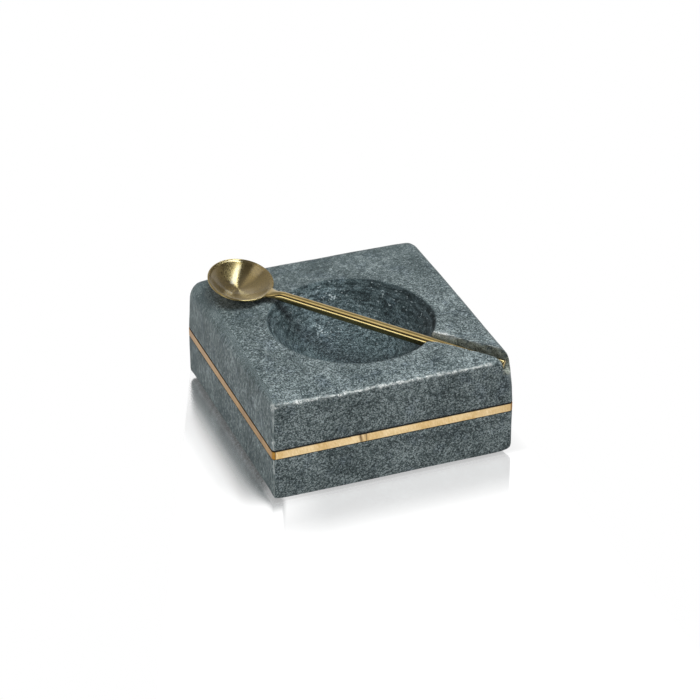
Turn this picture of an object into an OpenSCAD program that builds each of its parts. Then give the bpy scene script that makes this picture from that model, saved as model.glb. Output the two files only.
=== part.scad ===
// Salt cellar: a block of stone with a ground hollow, a brass inlay, four rubber feet and a spoon.
// Millimetres. The origin is the centre of the footprint at the resting plane, +Z up, +Y to the back.
// The spoon lies across the hollow, with its handle in the slot that comes out at the right front corner.

/* [Block] */
// Width of the stone, left to right
block_w = 100; // [90:1:130]
// Depth of the stone, front to back
block_d = 103; // [90:1:130]
// Height of the stone without its feet
block_h = 44.5; // [38:0.5:60]
// Radius of the four upright corners
corner_r = 1.5; // [0.5:0.1:3]
// Chamfer that wear has made along the top front edge
front_edge_c = 0.7; // [0.3:0.1:2]
// Radius of the other top edges
soft_edge_r = 4; // [2:0.1:6]
// Radius of the bottom edges at the front and back
base_edge_r = 1; // [0.5:0.1:1.5]
// Radius of the bottom edges at the left and right
base_side_r = 3.5; // [1:0.1:4]
// Drop of the top at the slot's corner, under the height of the rest
corner_fall = 1.3; // [0.5:0.1:1.8]
// Drop of the top front edge at its left end
front_fall_left = 2; // [1.5:0.1:3]
// Drop of the top front edge at its right end
front_fall_right = 2.7; // [1.5:0.1:4]
// Width of the stretch of the top that takes the front drop, at its left end
front_fall_w = 14; // [8:1:20]

/* [Hollow] */
// Diameter of the hollow at its rim
hollow_d = 66.8; // [50:0.2:72]
// Depth of the hollow under the top
hollow_depth = 20; // [12:0.5:24]
// Height of the straight wall under the rim
hollow_wall_h = 3; // [1:0.5:6]
// Centre of the hollow, right of the block's middle
hollow_x = 0.5; // [-3:0.1:3]
// Centre of the hollow, in front of the block's middle
hollow_front = 4; // [0:0.1:6]

/* [Slot] */
// Width of the slot for the handle
slot_w = 6.2; // [5.4:0.1:9]
// Depth of the slot's floor under the top, at the handle's end
slot_depth = 9.3; // [7:0.1:12]

/* [Inlay] */
// Height of the brass strips
strip_h = 3.2; // [2:0.1:5]
// Thickness of the brass strips
strip_t = 1; // [0.8:0.1:2]
// Bottom of the strips above the bottom of the stone
strip_z = 18.5; // [8:0.5:19]
// Thickness of the adhesive above, below and behind the strips
glue_t = 0.3; // [0.1:0.05:0.5]
// Gap at each butt joint, filled with adhesive
joint_gap = 0.2; // [0.1:0.05:0.4]
// Length of the short closing piece in the front band
closer_w = 2.2; // [1.5:0.1:10]
// Middle of the closing piece, left of the block's middle
closer_left = 12.9; // [5:0.1:25]

/* [Feet] */
// Diameter of the rubber pads
pad_d = 12; // [8:0.5:14]
// Thickness of the rubber
pad_t = 1; // [0.8:0.1:3]
// Thickness of the adhesive disc over each pad
film_t = 0.2; // [0.1:0.05:0.4]
// Centre of a pad from the side face
pad_inset_x = 11.6; // [10.5:0.1:16]
// Centre of a pad from the front or back face
pad_inset_y = 8.5; // [8.1:0.1:14]

/* [Spoon] */
// Diameter of the handle
rod_d = 4.5; // [3.5:0.1:5]
// Diameter of the handle where its neck begins
rod_neck_d = 4.1; // [3:0.1:5]
// Length of the handle, from its free end to the rim of the bowl
handle_l = 101; // [90:0.5:104]
// Length of the stretch that tapers towards the neck
taper_l = 35; // [10:1:50]
// Length of the flared neck
neck_l = 6.5; // [5:0.5:14]
// Width of the neck where it meets the bowl
neck_w = 7.5; // [5:0.1:10]
// Thickness of the neck where it meets the bowl
neck_t = 1.6; // [1:0.1:2.5]
// Chamfer around the free end of the handle
end_chamfer = 0.5; // [0.2:0.1:1]
// Length of the bowl, along the handle
bowl_l = 26.4; // [22:0.1:32]
// Width of the bowl, across the handle
bowl_w = 30; // [22:0.1:34]
// Depth of the bowl, from its rim plane to the outside of its bottom
bowl_depth = 5.7; // [4:0.1:9]
// Thickness of the bowl's metal
bowl_t = 0.9; // [0.6:0.1:1.5]
// Lift of the bowl's rim plane against the handle, in degrees
bowl_pitch = 8.4; // [0:0.1:12]
// Free end of the handle from the block's corner, seen from above
end_inset = 4.6; // [3:0.1:8]
// Air left between the spoon and the stone that it lies on
rest_gap = 0.2; // [0.1:0.05:0.3]

/* [Hidden] */
$fn = 96;
// Overrun of a cut past the face that it leaves
cut = 1;
// Heading of the slot from the block's corner
slot_heading = 135;

// The stone stands on the pads
foot_h = pad_t + film_t;
top_z = foot_h + block_h;

// The hollow's floor is part of a sphere that meets the straight wall at its foot
hollow_y = -hollow_front;
hollow_r = hollow_d / 2;
dish_h = hollow_depth - hollow_wall_h;
dish_r = (pow(hollow_r, 2) + pow(dish_h, 2)) / (2 * dish_h);

// Angle of each falling stretch of the top
half_diagonal_gap = block_w * block_d / norm([block_w, block_d]);
corner_fall_angle = atan(corner_fall / half_diagonal_gap);
front_edge_angle = atan((front_fall_right - front_fall_left) / block_w);
front_fall_angle = atan(front_fall_left / front_fall_w);
fall_span = 2 * norm([block_w, block_d]);

// The groove for the inlay
groove_h = strip_h + 2 * glue_t;
groove_t = strip_t + glue_t;
groove_z = foot_h + strip_z - glue_t;

// The front band runs between the side strips, in three pieces
band_half_w = block_w / 2 - strip_t - joint_gap;
closer_x0 = -closer_left - closer_w / 2;
closer_x1 = closer_x0 + closer_w;

// The bowl is turned about a line over it: an arc along the handle, swept round a wider one across it
keel_r = (pow(bowl_l / 2, 2) + pow(bowl_depth, 2)) / (2 * bowl_depth);
cup_r = (pow(bowl_w / 2, 2) + pow(bowl_depth, 2)) / (2 * bowl_depth);

// The spoon touches down at the handle's free end and under the bowl, and its tilt follows from both
keel_lift = keel_r - bowl_depth;
keel_x = handle_l + bowl_l / 2 * cos(bowl_pitch) - keel_lift * sin(bowl_pitch);
keel_z = rest_gap + rod_d / 2 + bowl_l / 2 * sin(bowl_pitch) + keel_lift * cos(bowl_pitch);
keel_rise = slot_depth + rest_gap + keel_r;
spoon_tilt = asin(keel_rise / norm([keel_x, keel_z])) - atan2(keel_z, keel_x);

// Seen from above, the free end lies on the slot's line, in from the corner
end_x = block_w / 2 + end_inset * cos(slot_heading);
end_y = -block_d / 2 + end_inset * sin(slot_heading);
// The slot starts over the middle of the hollow's near half
slot_l = norm([end_x - hollow_x, end_y - hollow_y]) - hollow_r / 2;

// Outline with its first corner at the origin and its own radius at each corner, from there anticlockwise
module rounded_outline(w, h, radii) {
    corners = [[0, 0], [w, 0], [w, h], [0, h]];
    inward = [[1, 1], [-1, 1], [-1, -1], [1, -1]];
    difference() {
        square([w, h]);
        for (i = [0 : 3])
            translate(corners[i] + radii[i] * inward[i])
                difference() {
                    rotate(90 * i + 180) square(radii[i] + cut);
                    circle(radii[i]);
                }
    }
}

// Outline of the stone from above, extruded from height z by h
module plan_slab(z, h) {
    translate([-block_w / 2, -block_d / 2, z])
        linear_extrude(h) rounded_outline(block_w, block_d, [corner_r, corner_r, corner_r, corner_r]);
}

// The stone seen from the front, extruded through its depth
module front_slab() {
    translate([-block_w / 2, block_d / 2, foot_h])
        rotate([90, 0, 0])
            linear_extrude(block_d)
                rounded_outline(block_w, block_h, [base_side_r, base_side_r, soft_edge_r, soft_edge_r]);
}

// The stone seen from the right, extruded through its width; the front fall takes its top front corner off
module side_slab() {
    translate([-block_w / 2, -block_d / 2, foot_h])
        rotate([90, 0, 90])
            linear_extrude(block_w)
                rounded_outline(block_d, block_h, [base_edge_r, base_edge_r, soft_edge_r, base_edge_r]);
}

// What the stone worker's hand took off the top: a fall to the slot's corner and one to the front edge, and
// what wear took off that edge
module top_falls() {
    translate([0, 0, top_z])
        rotate(corner_fall_angle, [block_w, block_d, 0])
            translate([-fall_span / 2, -fall_span / 2, 0])
                cube([fall_span, fall_span, block_h]);
    translate([-block_w / 2, -block_d / 2, top_z - front_fall_left])
        rotate([0, front_edge_angle, 0]) {
            rotate([front_fall_angle, 0, 0])
                translate([-fall_span / 2, -cut, 0])
                    cube([fall_span, fall_span, block_h]);
            translate([0, 0, -front_edge_c])
                rotate([45, 0, 0])
                    translate([-fall_span / 2, -block_h / 2, 0])
                        cube([fall_span, block_h, block_h]);
        }
}

// The hollow: a dished floor under a short straight wall
module hollow() {
    floor_z = top_z - hollow_depth;
    translate([hollow_x, hollow_y, floor_z])
        intersection() {
            translate([0, 0, dish_r]) sphere(dish_r);
            cylinder(r = hollow_r, h = hollow_depth + cut);
        }
}

// Frame of the slot: its origin is the slot's floor under the handle's free end, and +X climbs to the bowl
module along_slot() {
    translate([end_x, end_y, top_z - slot_depth])
        rotate([0, -spoon_tilt, slot_heading])
            children();
}

module slot() {
    overrun = end_inset + slot_w;
    translate([-overrun, 0, slot_w / 2]) {
        rotate([0, 90, 0]) cylinder(d = slot_w, h = slot_l + overrun);
        translate([0, -slot_w / 2, 0]) cube([slot_l + overrun, slot_w, slot_depth + slot_w]);
    }
}

// Band of thickness t just under the stone's faces, from height z by h
module face_band(z, h, t) {
    difference() {
        plan_slab(z, h);
        translate([-block_w / 2 + t, -block_d / 2 + t, z - cut])
            cube([block_w - 2 * t, block_d - 2 * t, h + 2 * cut]);
    }
}

module stone_block() {
    color("slategray")
        difference() {
            intersection() {
                plan_slab(foot_h, block_h);
                front_slab();
                side_slab();
            }
            top_falls();
            hollow();
            along_slot() slot();
            face_band(groove_z, groove_h, groove_t);
        }
}

// Strip stock from corner a to corner b, cut to the stone's outline
module strip(a, b) {
    intersection() {
        plan_slab(foot_h + strip_z, strip_h);
        translate([a[0], a[1], foot_h + strip_z]) cube([b[0] - a[0], b[1] - a[1], strip_h]);
    }
}

module front_strip(x0, x1) {
    strip([x0, -block_d / 2], [x1, -block_d / 2 + strip_t]);
}

module strip_front_left() {
    color("khaki") front_strip(-band_half_w, closer_x0 - joint_gap);
}

module strip_front_closer() {
    color("khaki") front_strip(closer_x0, closer_x1);
}

module strip_front_right() {
    color("khaki") front_strip(closer_x1 + joint_gap, band_half_w);
}

module strip_left() {
    color("goldenrod") strip([-block_w / 2, -block_d / 2], [-block_w / 2 + strip_t, block_d / 2]);
}

module strip_right() {
    color("goldenrod") strip([block_w / 2 - strip_t, -block_d / 2], [block_w / 2, block_d / 2]);
}

module strip_back() {
    color("khaki") strip([-band_half_w, block_d / 2 - strip_t], [band_half_w, block_d / 2]);
}

// The adhesive fills what the strips leave of the groove
module inlay_adhesive() {
    color("black")
        difference() {
            face_band(groove_z, groove_h, groove_t);
            strip_front_left();
            strip_front_closer();
            strip_front_right();
            strip_left();
            strip_right();
            strip_back();
        }
}

// Place of the pad at one corner: side and end are -1 or 1
module at_pad(side, end) {
    translate([side * (block_w / 2 - pad_inset_x), end * (block_d / 2 - pad_inset_y), 0]) children();
}

module foot(side, end) {
    color("black") at_pad(side, end) cylinder(d = pad_d, h = pad_t);
}

module foot_front_left() {
    foot(-1, -1);
}

module foot_front_right() {
    foot(1, -1);
}

module foot_back_left() {
    foot(-1, 1);
}

module foot_back_right() {
    foot(1, 1);
}

module foot_adhesive() {
    color("dimgray")
        for (side = [-1, 1], end = [-1, 1])
            at_pad(side, end) translate([0, 0, pad_t]) cylinder(d = pad_d, h = film_t);
}

// Frame of the spoon: its origin is the centre of the handle's free end, and +X runs along the handle
module along_spoon() {
    along_slot() translate([0, 0, rest_gap + rod_d / 2]) children();
}

// Frame of the bowl: its origin is the centre of the rim plane
module at_bowl() {
    translate([handle_l, 0, 0])
        rotate([0, -bowl_pitch, 0])
            translate([bowl_l / 2, 0, 0])
                children();
}

// Solid of the bowl's outside, or of its inside where wall is the metal's thickness, on past the rim plane
module cup(wall) {
    translate([0, 0, cup_r - bowl_depth])
        rotate([0, 90, 0])
            rotate_extrude()
                intersection() {
                    translate([cup_r - keel_r, 0]) circle(keel_r - wall);
                    translate([0, -keel_r]) square([cup_r, 2 * keel_r]);
                }
}

module spoon_bowl() {
    color("darkkhaki")
        along_spoon() at_bowl()
            difference() {
                intersection() {
                    cup(0);
                    translate([-bowl_l, -bowl_w, -bowl_depth - cut])
                        cube([2 * bowl_l, 2 * bowl_w, bowl_depth + cut]);
                }
                cup(bowl_t);
            }
}

// The neck narrows in height and widens to the bowl, and stops at its wall
module neck() {
    difference() {
        hull() {
            translate([handle_l - neck_l, 0, 0])
                rotate([0, 90, 0]) cylinder(d = rod_neck_d, h = neck_t / 2, $fn = 32);
            translate([handle_l, 0, 0])
                rotate([0, -bowl_pitch, 0])
                    for (side = [-1, 1])
                        translate([neck_t / 2, side * (neck_w - neck_t) / 2, -neck_t / 2])
                            sphere(d = neck_t, $fn = 24);
        }
        at_bowl() cup(0);
    }
}

module spoon_handle() {
    neck_x = handle_l - neck_l;
    color("darkkhaki")
        along_spoon() {
            rotate([0, 90, 0]) {
                cylinder(d1 = rod_d - 2 * end_chamfer, d2 = rod_d, h = end_chamfer);
                translate([0, 0, end_chamfer])
                    cylinder(d = rod_d, h = neck_x - taper_l - end_chamfer);
                translate([0, 0, neck_x - taper_l]) cylinder(d1 = rod_d, d2 = rod_neck_d, h = taper_l);
            }
            neck();
        }
}

stone_block();
inlay_adhesive();
strip_front_left();
strip_front_closer();
strip_front_right();
strip_left();
strip_right();
strip_back();
foot_front_left();
foot_front_right();
foot_back_left();
foot_back_right();
foot_adhesive();
spoon_bowl();
spoon_handle();
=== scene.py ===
import math

import bmesh
import bpy
import numpy as np
from mathutils import Matrix, Vector, noise


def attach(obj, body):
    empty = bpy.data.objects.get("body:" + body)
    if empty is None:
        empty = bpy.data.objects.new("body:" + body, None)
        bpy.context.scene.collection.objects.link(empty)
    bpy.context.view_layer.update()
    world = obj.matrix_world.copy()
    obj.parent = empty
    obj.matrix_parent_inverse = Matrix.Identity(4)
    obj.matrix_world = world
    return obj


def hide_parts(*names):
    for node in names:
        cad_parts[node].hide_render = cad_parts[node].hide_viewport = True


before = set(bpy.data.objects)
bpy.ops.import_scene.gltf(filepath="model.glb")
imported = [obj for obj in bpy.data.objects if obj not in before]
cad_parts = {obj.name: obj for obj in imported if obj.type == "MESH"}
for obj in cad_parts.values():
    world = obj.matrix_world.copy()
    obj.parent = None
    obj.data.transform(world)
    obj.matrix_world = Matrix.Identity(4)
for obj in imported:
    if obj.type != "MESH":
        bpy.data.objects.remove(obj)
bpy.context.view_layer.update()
print("frame loaded:", len(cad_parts), "nodes")

mm = 0.001

# Camera at the photograph's place. Its frame is square, so one lens sets both angles of view.
camera = {
    "place": (-320.89, -830.0, 551.8),
    "tilt": 59.586,
    "turn": -21.221,
    "lens": 132.87,
    "sensor": 36.0,
}

cameraData = bpy.data.cameras.new("camera")
cameraData.lens = camera["lens"]
cameraData.sensor_width = camera["sensor"]
cameraObject = bpy.data.objects.new("camera", cameraData)
cameraObject.location = Vector(camera["place"]) * mm
cameraObject.rotation_euler = (math.radians(camera["tilt"]), 0, math.radians(camera["turn"]))
bpy.context.scene.collection.objects.link(cameraObject)
bpy.context.scene.camera = cameraObject
bpy.context.scene.view_settings.view_transform = "Standard"
print("camera placed")


def linear(hexText):
    parts = [int(hexText[i:i + 2], 16) / 255 for i in (1, 3, 5)]
    return tuple(c / 12.92 if c <= 0.04045 else ((c + 0.055) / 1.055) ** 2.4 for c in parts) + (1.0,)


def newMaterial(name):
    material = bpy.data.materials.new(name)
    material.use_nodes = True
    return material, material.node_tree, material.node_tree.nodes["Principled BSDF"]


def setInputs(tree, node, inputs):
    # inputs: a socket's name or number, and its value or the socket that feeds it
    for key, value in inputs.items():
        if isinstance(value, bpy.types.NodeSocket):
            tree.links.new(value, node.inputs[key])
        else:
            node.inputs[key].default_value = value


def addNode(tree, kind, inputs=None, **settings):
    node = tree.nodes.new(kind)
    for name, value in settings.items():
        setattr(node, name, value)
    setInputs(tree, node, inputs or {})
    return node


def calc(tree, operation, *values):
    return addNode(tree, "ShaderNodeMath", dict(enumerate(values)), operation=operation).outputs[0]


def vectorCalc(tree, operation, *values):
    return addNode(tree, "ShaderNodeVectorMath", dict(enumerate(values)), operation=operation).outputs[0]


def measure(tree, operation, *values):
    # length of a vector, or dot product of two
    node = addNode(tree, "ShaderNodeVectorMath", dict(enumerate(values)), operation=operation)
    return node.outputs["Value"]


def mapped(tree, value, fromLow, fromHigh, toLow=0.0, toHigh=1.0, smooth=False):
    # carries one range over to another and stops at its ends
    return addNode(tree, "ShaderNodeMapRange", {0: value, 1: fromLow, 2: fromHigh, 3: toLow, 4: toHigh},
                   interpolation_type="SMOOTHSTEP" if smooth else "LINEAR").outputs[0]


def blended(tree, share, first, second, mode="MIX"):
    # from the first colour to the second
    return addNode(tree, "ShaderNodeMix", {0: share, 6: first, 7: second}, data_type="RGBA",
                   blend_type=mode).outputs[2]


def between(tree, share, first, second):
    # from the first number to the second
    return addNode(tree, "ShaderNodeMix", {0: share, 2: first, 3: second}).outputs[0]


def noiseField(tree, place, size, detail, roughness):
    return addNode(tree, "ShaderNodeTexNoise",
                   {"Vector": place, "Scale": 1 / size, "Detail": detail, "Roughness": roughness}).outputs[0]


def axesOf(tree, vector):
    return addNode(tree, "ShaderNodeSeparateXYZ", {0: vector}).outputs


def cellsOf(tree, place, size):
    # irregular cells: the distance from each one's middle, and a colour of its own
    return addNode(tree, "ShaderNodeTexVoronoi", {"Vector": place, "Scale": 1 / size}).outputs


def channel(tree, colour, number):
    return addNode(tree, "ShaderNodeSeparateColor", {0: colour}).outputs[number]


def outermost(tree, vector):
    # the larger of its X and Y
    parts = axesOf(tree, vector)
    return calc(tree, "MAXIMUM", parts["X"], parts["Y"])


def ramped(tree, value, stops):
    # stops in rising order: place on the ramp, and the colour there
    node = addNode(tree, "ShaderNodeValToRGB", {0: value})
    elements = node.color_ramp.elements
    elements[0].position = stops[0][0]
    elements[1].position = stops[-1][0]
    for stop in stops[1:-1]:
        elements.new(stop[0])
    for element, stop in zip(elements, stops):
        element.color = stop[1]
    return node.outputs[0]


def bumped(tree, height, strength, depth):
    # depth in millimetres
    return addNode(tree, "ShaderNodeBump",
                   {"Strength": strength, "Distance": depth * mm, "Height": height}).outputs[0]


def placeOnPiece(tree, scale=(1000, 1000, 1000)):
    # place in millimetres
    coordinates = addNode(tree, "ShaderNodeTexCoord").outputs["Object"]
    return vectorCalc(tree, "MULTIPLY", coordinates, scale)


def pickOnly(piece):
    bpy.ops.object.select_all(action="DESELECT")
    piece.select_set(True)
    bpy.context.view_layer.objects.active = piece


def endEdit():
    bpy.ops.object.mode_set(mode="OBJECT")


def selectAll():
    bpy.ops.mesh.select_all(action="SELECT")


def closeUp():
    # turns every face outwards and leaves edit mode
    selectAll()
    bpy.ops.mesh.normals_make_consistent(inside=False)
    endEdit()


def turnOutwards(piece):
    pickOnly(piece)
    bpy.ops.object.mode_set(mode="EDIT")
    closeUp()


def startPiece(name, add, location=(0, 0, 0), **settings):
    # a primitive in edit mode, with all of it selected
    bpy.ops.object.select_all(action="DESELECT")
    add(location=location, **settings)
    piece = bpy.context.object
    piece.name = name
    bpy.ops.object.mode_set(mode="EDIT")
    selectAll()
    return piece


def selectBy(kind, test):
    # kind is verts, edges or faces of the piece in edit mode; test takes one of them
    mesh = bpy.context.object.data
    editMesh = bmesh.from_edit_mesh(mesh)
    bpy.ops.mesh.select_all(action="DESELECT")
    for element in getattr(editMesh, kind):
        if test(element):
            element.select_set(True)
    bmesh.update_edit_mesh(mesh)


def drawProfile(name, points):
    # A single vertex, extruded from point to point
    piece = startPiece(name, bpy.ops.mesh.primitive_plane_add, size=mm)
    bpy.ops.mesh.merge(type="CENTER")
    bpy.ops.transform.translate(value=Vector(points[0]) * mm)
    for before, after in zip(points, points[1:]):
        step = (Vector(after) - Vector(before)) * mm
        bpy.ops.mesh.extrude_region_move(TRANSFORM_OT_translate={"value": step})
    return piece


def spinProfile(steps):
    # vertices of the seam that lie within this many millimetres become one
    seam = 0.002
    selectAll()
    bpy.ops.mesh.spin(steps=steps, angle=2 * math.pi, center=(0, 0, 0), axis=(0, 0, 1))
    selectAll()
    bpy.ops.mesh.remove_doubles(threshold=seam * mm)
    closeUp()


def vertexPlaces(piece):
    # Places of a piece's vertices, in millimetres
    places = np.empty(len(piece.data.vertices) * 3)
    piece.data.vertices.foreach_get("co", places)
    return places.reshape(-1, 3) / mm


def moveVertices(piece, places):
    piece.data.vertices.foreach_set("co", (np.asarray(places) * mm).ravel())
    piece.data.update()


def giveMaterial(piece, material):
    piece.data.materials.clear()
    piece.data.materials.append(material)


def smoothShading(piece, angle):
    pickOnly(piece)
    bpy.ops.object.shade_smooth_by_angle(angle=math.radians(angle))


# The stone, in millimetres. It is turned as a round blank with its hollow, then squared: the top falls to
# the slot's corner, and its front edge rolls down to the right.
stone = {
    "spokes": 480,
    "halfWidth": 50.0,
    "halfDepth": 51.5,
    "bottom": 1.2,
    "top": 45.6,
    "cornerFall": 1.3,
    "highCorner": 0.4,
    "hollowCentre": (0.5, -4.0),
    "hollowDepth": 20.0,
    "dishEdge": (30.6, 3.45),
    "bandMiddle": 21.3,
    "halfDiagonal": 71.8,
    "grooveTop": 23.6,
    "grooveBottom": 19.25,
    # rounding of the top edges along each side: places along it, and the radius there
    "leftEdge": ((-51, -47, -27, 0, 38, 51), (2.0, 2.8, 4.6, 6.0, 7.4, 7.4)),
    "backEdge": ((-50, -40, 0, 40, 50), (7.0, 5.5, 4.2, 4.6, 5.5)),
    "rightEdge": ((-51, -40, 0, 45, 51), (4.8, 4.4, 4.2, 4.6, 5.5)),
    # rounding of the bottom edges: left, back, right and front
    "baseEdges": (3.4, 1.4, 4.6, 0.9),
    # radius of the upright corners at heights up the block
    "cornerHeights": (14, 23.5, 30, 36, 41),
    "nearCorner": (1.5, 1.5, 1.4, 1.5, 2.0),
    "slotCorner": (1.5, 1.6, 3.0, 5.2, 7.6),
    "leftBackCorner": (1.5, 1.8, 3.4, 4.2, 5.0),
    "rightBackCorner": (1.5, 1.6, 2.4, 3.4, 5.0),
    # drop of the front arris along the front, and the width of the stretch that takes it
    "rollPlaces": (-51, -47, -44, -38, -31, -20, 0, 20, 38, 51),
    "rollDrops": (1.0, 1.25, 1.48, 1.79, 1.8, 1.96, 1.77, 1.52, 1.28, 1.16),
    "rollWidths": (12, 12, 12, 13, 13, 13, 12, 10, 8, 6),
    # further rounding of the front arris towards the slot
    "frontWorn": ((38.5, 41, 44, 46, 50), (0, 0.8, 2.3, 3.0, 3.3)),
}

# Slot for the handle, as the part has it: a round-bottomed groove along the diagonal
slotCut = {
    "width": 6.2,
    "depth": 9.3,
    "endInset": 4.6,
    "heading": 135.0,
    "length": 44.0,
    "cutHeight": 22.0,
    "overrun": 5.6,
    "sliceStep": 0.7,
    "slicesUp": (3.7, 11, 0.6),
    "rough": 0.16,
    # gains of the roughness behind the handle and in front of it
    "roughGains": (2.2, 0.8),
    "chips": 0.45,
    # where the near corner's rounding starts, its length and its depth
    "flare": (27.3, 4.5, 2.4),
}

spoon = {
    "rodRadius": 2.25,
    "neckRadius": 2.05,
    "handleLength": 101.0,
    "taperLength": 35.0,
    "neckLength": 6.5,
    "bowlLength": 26.4,
    "bowlWidth": 30.0,
    "bowlDepth": 5.7,
    "wall": 0.9,
    "rimWall": 0.7,
    "bowlPitch": 8.4,
    "restGap": 0.2,
    # the bowl is spun round at this radius, and its rim's faces lie outside the second
    "spunRadius": 14.0,
    "bowlSpokes": 128,
    "rimFrom": 13.5,
    # the neck's end: how far into the bowl's wall, and its half width and half height there
    "neckInto": 0.5,
    "neckEnd": (4.2, 0.72),
}


def layOfSpoon():
    # The tilt at which the handle's end and the bowl's underside both lie on the stone
    keel = ((spoon["bowlLength"] / 2) ** 2 + spoon["bowlDepth"] ** 2) / (2 * spoon["bowlDepth"])
    lift = keel - spoon["bowlDepth"]
    pitch = math.radians(spoon["bowlPitch"])
    half = spoon["bowlLength"] / 2
    keelX = spoon["handleLength"] + half * math.cos(pitch) - lift * math.sin(pitch)
    keelZ = spoon["restGap"] + spoon["rodRadius"] + half * math.sin(pitch) + lift * math.cos(pitch)
    rise = slotCut["depth"] + spoon["restGap"] + keel
    return math.asin(rise / math.hypot(keelX, keelZ)) - math.atan2(keelZ, keelX)


blockTop = 45.7
heading = math.radians(slotCut["heading"])
slotEnd = Vector((
    stone["halfWidth"] + slotCut["endInset"] * math.cos(heading),
    -stone["halfDepth"] + slotCut["endInset"] * math.sin(heading),
    blockTop - slotCut["depth"],
))
spoonTilt = layOfSpoon()
alongSlot = (Matrix.Translation(slotEnd) @ Matrix.Rotation(heading, 4, "Z")
             @ Matrix.Rotation(-spoonTilt, 4, "Y"))
alongSpoon = alongSlot @ Matrix.Translation((0, 0, spoon["restGap"] + spoon["rodRadius"]))
print("spoon tilt", round(math.degrees(spoonTilt), 3))


def wearTable(seed, length, size):
    # Smooth noise along a line, sampled every half millimetre
    places = np.arange(-length, length + 0.5, 0.5)
    values = [noise.fractal(Vector((p / size, seed, 0.3)), 1.0, 2.0, 3) for p in places]
    return places, np.array(values)


arrisWear = wearTable(3.7, 52, 3.2)
cornerWear = wearTable(9.1, 52, 2.6)


def roundedMax(a, b, radius):
    inCorner = (a > -radius) & (b > -radius)
    return np.where(inCorner, np.hypot(a + radius, b + radius) - radius, np.maximum(a, b))


def topHeight(x, y):
    # The face falls from the diagonal to the slot's corner, and rolls down at the front
    width, depth = stone["halfWidth"], stone["halfDepth"]
    diagonal = (x * depth - y * width) / math.hypot(width, depth)
    fall = stone["cornerFall"] * np.clip(diagonal / stone["halfDiagonal"], 0, 2) ** 1.2
    high = stone["highCorner"] * np.clip((y / depth - x / width) / 2, 0, 1) ** 2
    drop = np.interp(x, stone["rollPlaces"], stone["rollDrops"])
    reach = np.interp(x, stone["rollPlaces"], stone["rollWidths"])
    roll = drop * 1.12 * np.clip(1 - (y + depth) / reach, 0, 1) ** 1.5
    sway = 0.09 * np.sin(x / 8.3 + 1.3) * np.sin(y / 10.1 + 0.4) + 0.05 * np.sin(x / 4.1 - y / 5.3)
    return stone["top"] - fall + high - roll + sway - 0.1


def blockGap(x, y, z):
    # How far a point lies outside the worked block; negative inside it
    width, depth = stone["halfWidth"], stone["halfDepth"]
    offBand = np.clip((np.abs(z - stone["bandMiddle"]) - 3) / 4, 0, 1)
    faceSway = 0.05 * np.sin(z / 6.1 + x / 9.0) * offBand
    gaps = {
        "leftEdge": -x - width + faceSway,
        "backEdge": y - depth + faceSway,
        "rightEdge": x - width + faceSway,
        "frontEdge": -y - depth + faceSway,
    }
    heights = stone["cornerHeights"]
    radii = {name: np.interp(z, heights, stone[name])
             for name in ("nearCorner", "slotCorner", "leftBackCorner", "rightBackCorner")}
    radii["nearCorner"] = radii["nearCorner"] + 0.35 * np.interp(z, *cornerWear) * offBand
    corner = np.where(
        y < 0, np.where(x < 0, radii["nearCorner"], radii["slotCorner"]),
        np.where(x < 0, radii["leftBackCorner"], radii["rightBackCorner"]))
    plan = roundedMax(np.where(x < 0, gaps["leftEdge"], gaps["rightEdge"]),
                      np.where(y < 0, gaps["frontEdge"], gaps["backEdge"]), corner)
    frontRadius = 0.7 + 0.45 * np.interp(x, *arrisWear) + np.interp(x, *stone["frontWorn"])
    edgeRadii = {
        "leftEdge": np.interp(y, *stone["leftEdge"]),
        "backEdge": np.interp(x, *stone["backEdge"]),
        "rightEdge": np.interp(y, *stone["rightEdge"]),
        "frontEdge": np.clip(frontRadius, 0.35, 4),
    }
    total = 0
    topRadius = 0
    baseRadius = 0
    for base, name in enumerate(gaps):
        weight = np.exp(np.clip(gaps[name], -60, 3) / 1.8)
        total = total + weight
        topRadius = topRadius + weight * edgeRadii[name]
        baseRadius = baseRadius + weight * stone["baseEdges"][base]
    upper = roundedMax(z - topHeight(x, y), plan, topRadius / total)
    return roundedMax(stone["bottom"] - z, upper, baseRadius / total)


def reachSurface(start, direction, far):
    # Distance from points inside the block to its surface, by halving
    low = np.zeros(start[0].shape)
    high = np.full(start[0].shape, far)
    for _ in range(34):
        middle = (low + high) / 2
        inside = blockGap(*(s + middle * d for s, d in zip(start, direction))) < 0
        low = np.where(inside, middle, low)
        high = np.where(inside, high, middle)
    return low


def outlineSpokes(count):
    # Headings of the spokes: even steps along the square's outline, closer together at its corners
    width, depth = stone["halfWidth"], stone["halfDepth"]
    corners = [(width, -depth), (width, depth), (-width, depth), (-width, -depth), (width, -depth)]
    points, weights = [], []
    samples = 2000
    for (ax, ay), (bx, by) in zip(corners, corners[1:]):
        length = math.hypot(bx - ax, by - ay)
        for step in range(samples):
            along = (step + 0.5) / samples
            toCorner = min(along, 1 - along) * length
            points.append((ax + (bx - ax) * along, ay + (by - ay) * along))
            weights.append(length / samples * (1 + 1.8 * math.exp(-(toCorner / 3.5) ** 2)))
    points = np.array(points)
    run = np.cumsum(weights)
    places = (np.arange(count) + 0.5) / count * run[-1]
    px = np.interp(places, run, points[:, 0])
    py = np.interp(places, run, points[:, 1])
    centre = stone["hollowCentre"]
    return np.unwrap(np.arctan2(py - centre[1], px - centre[0]))


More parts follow.
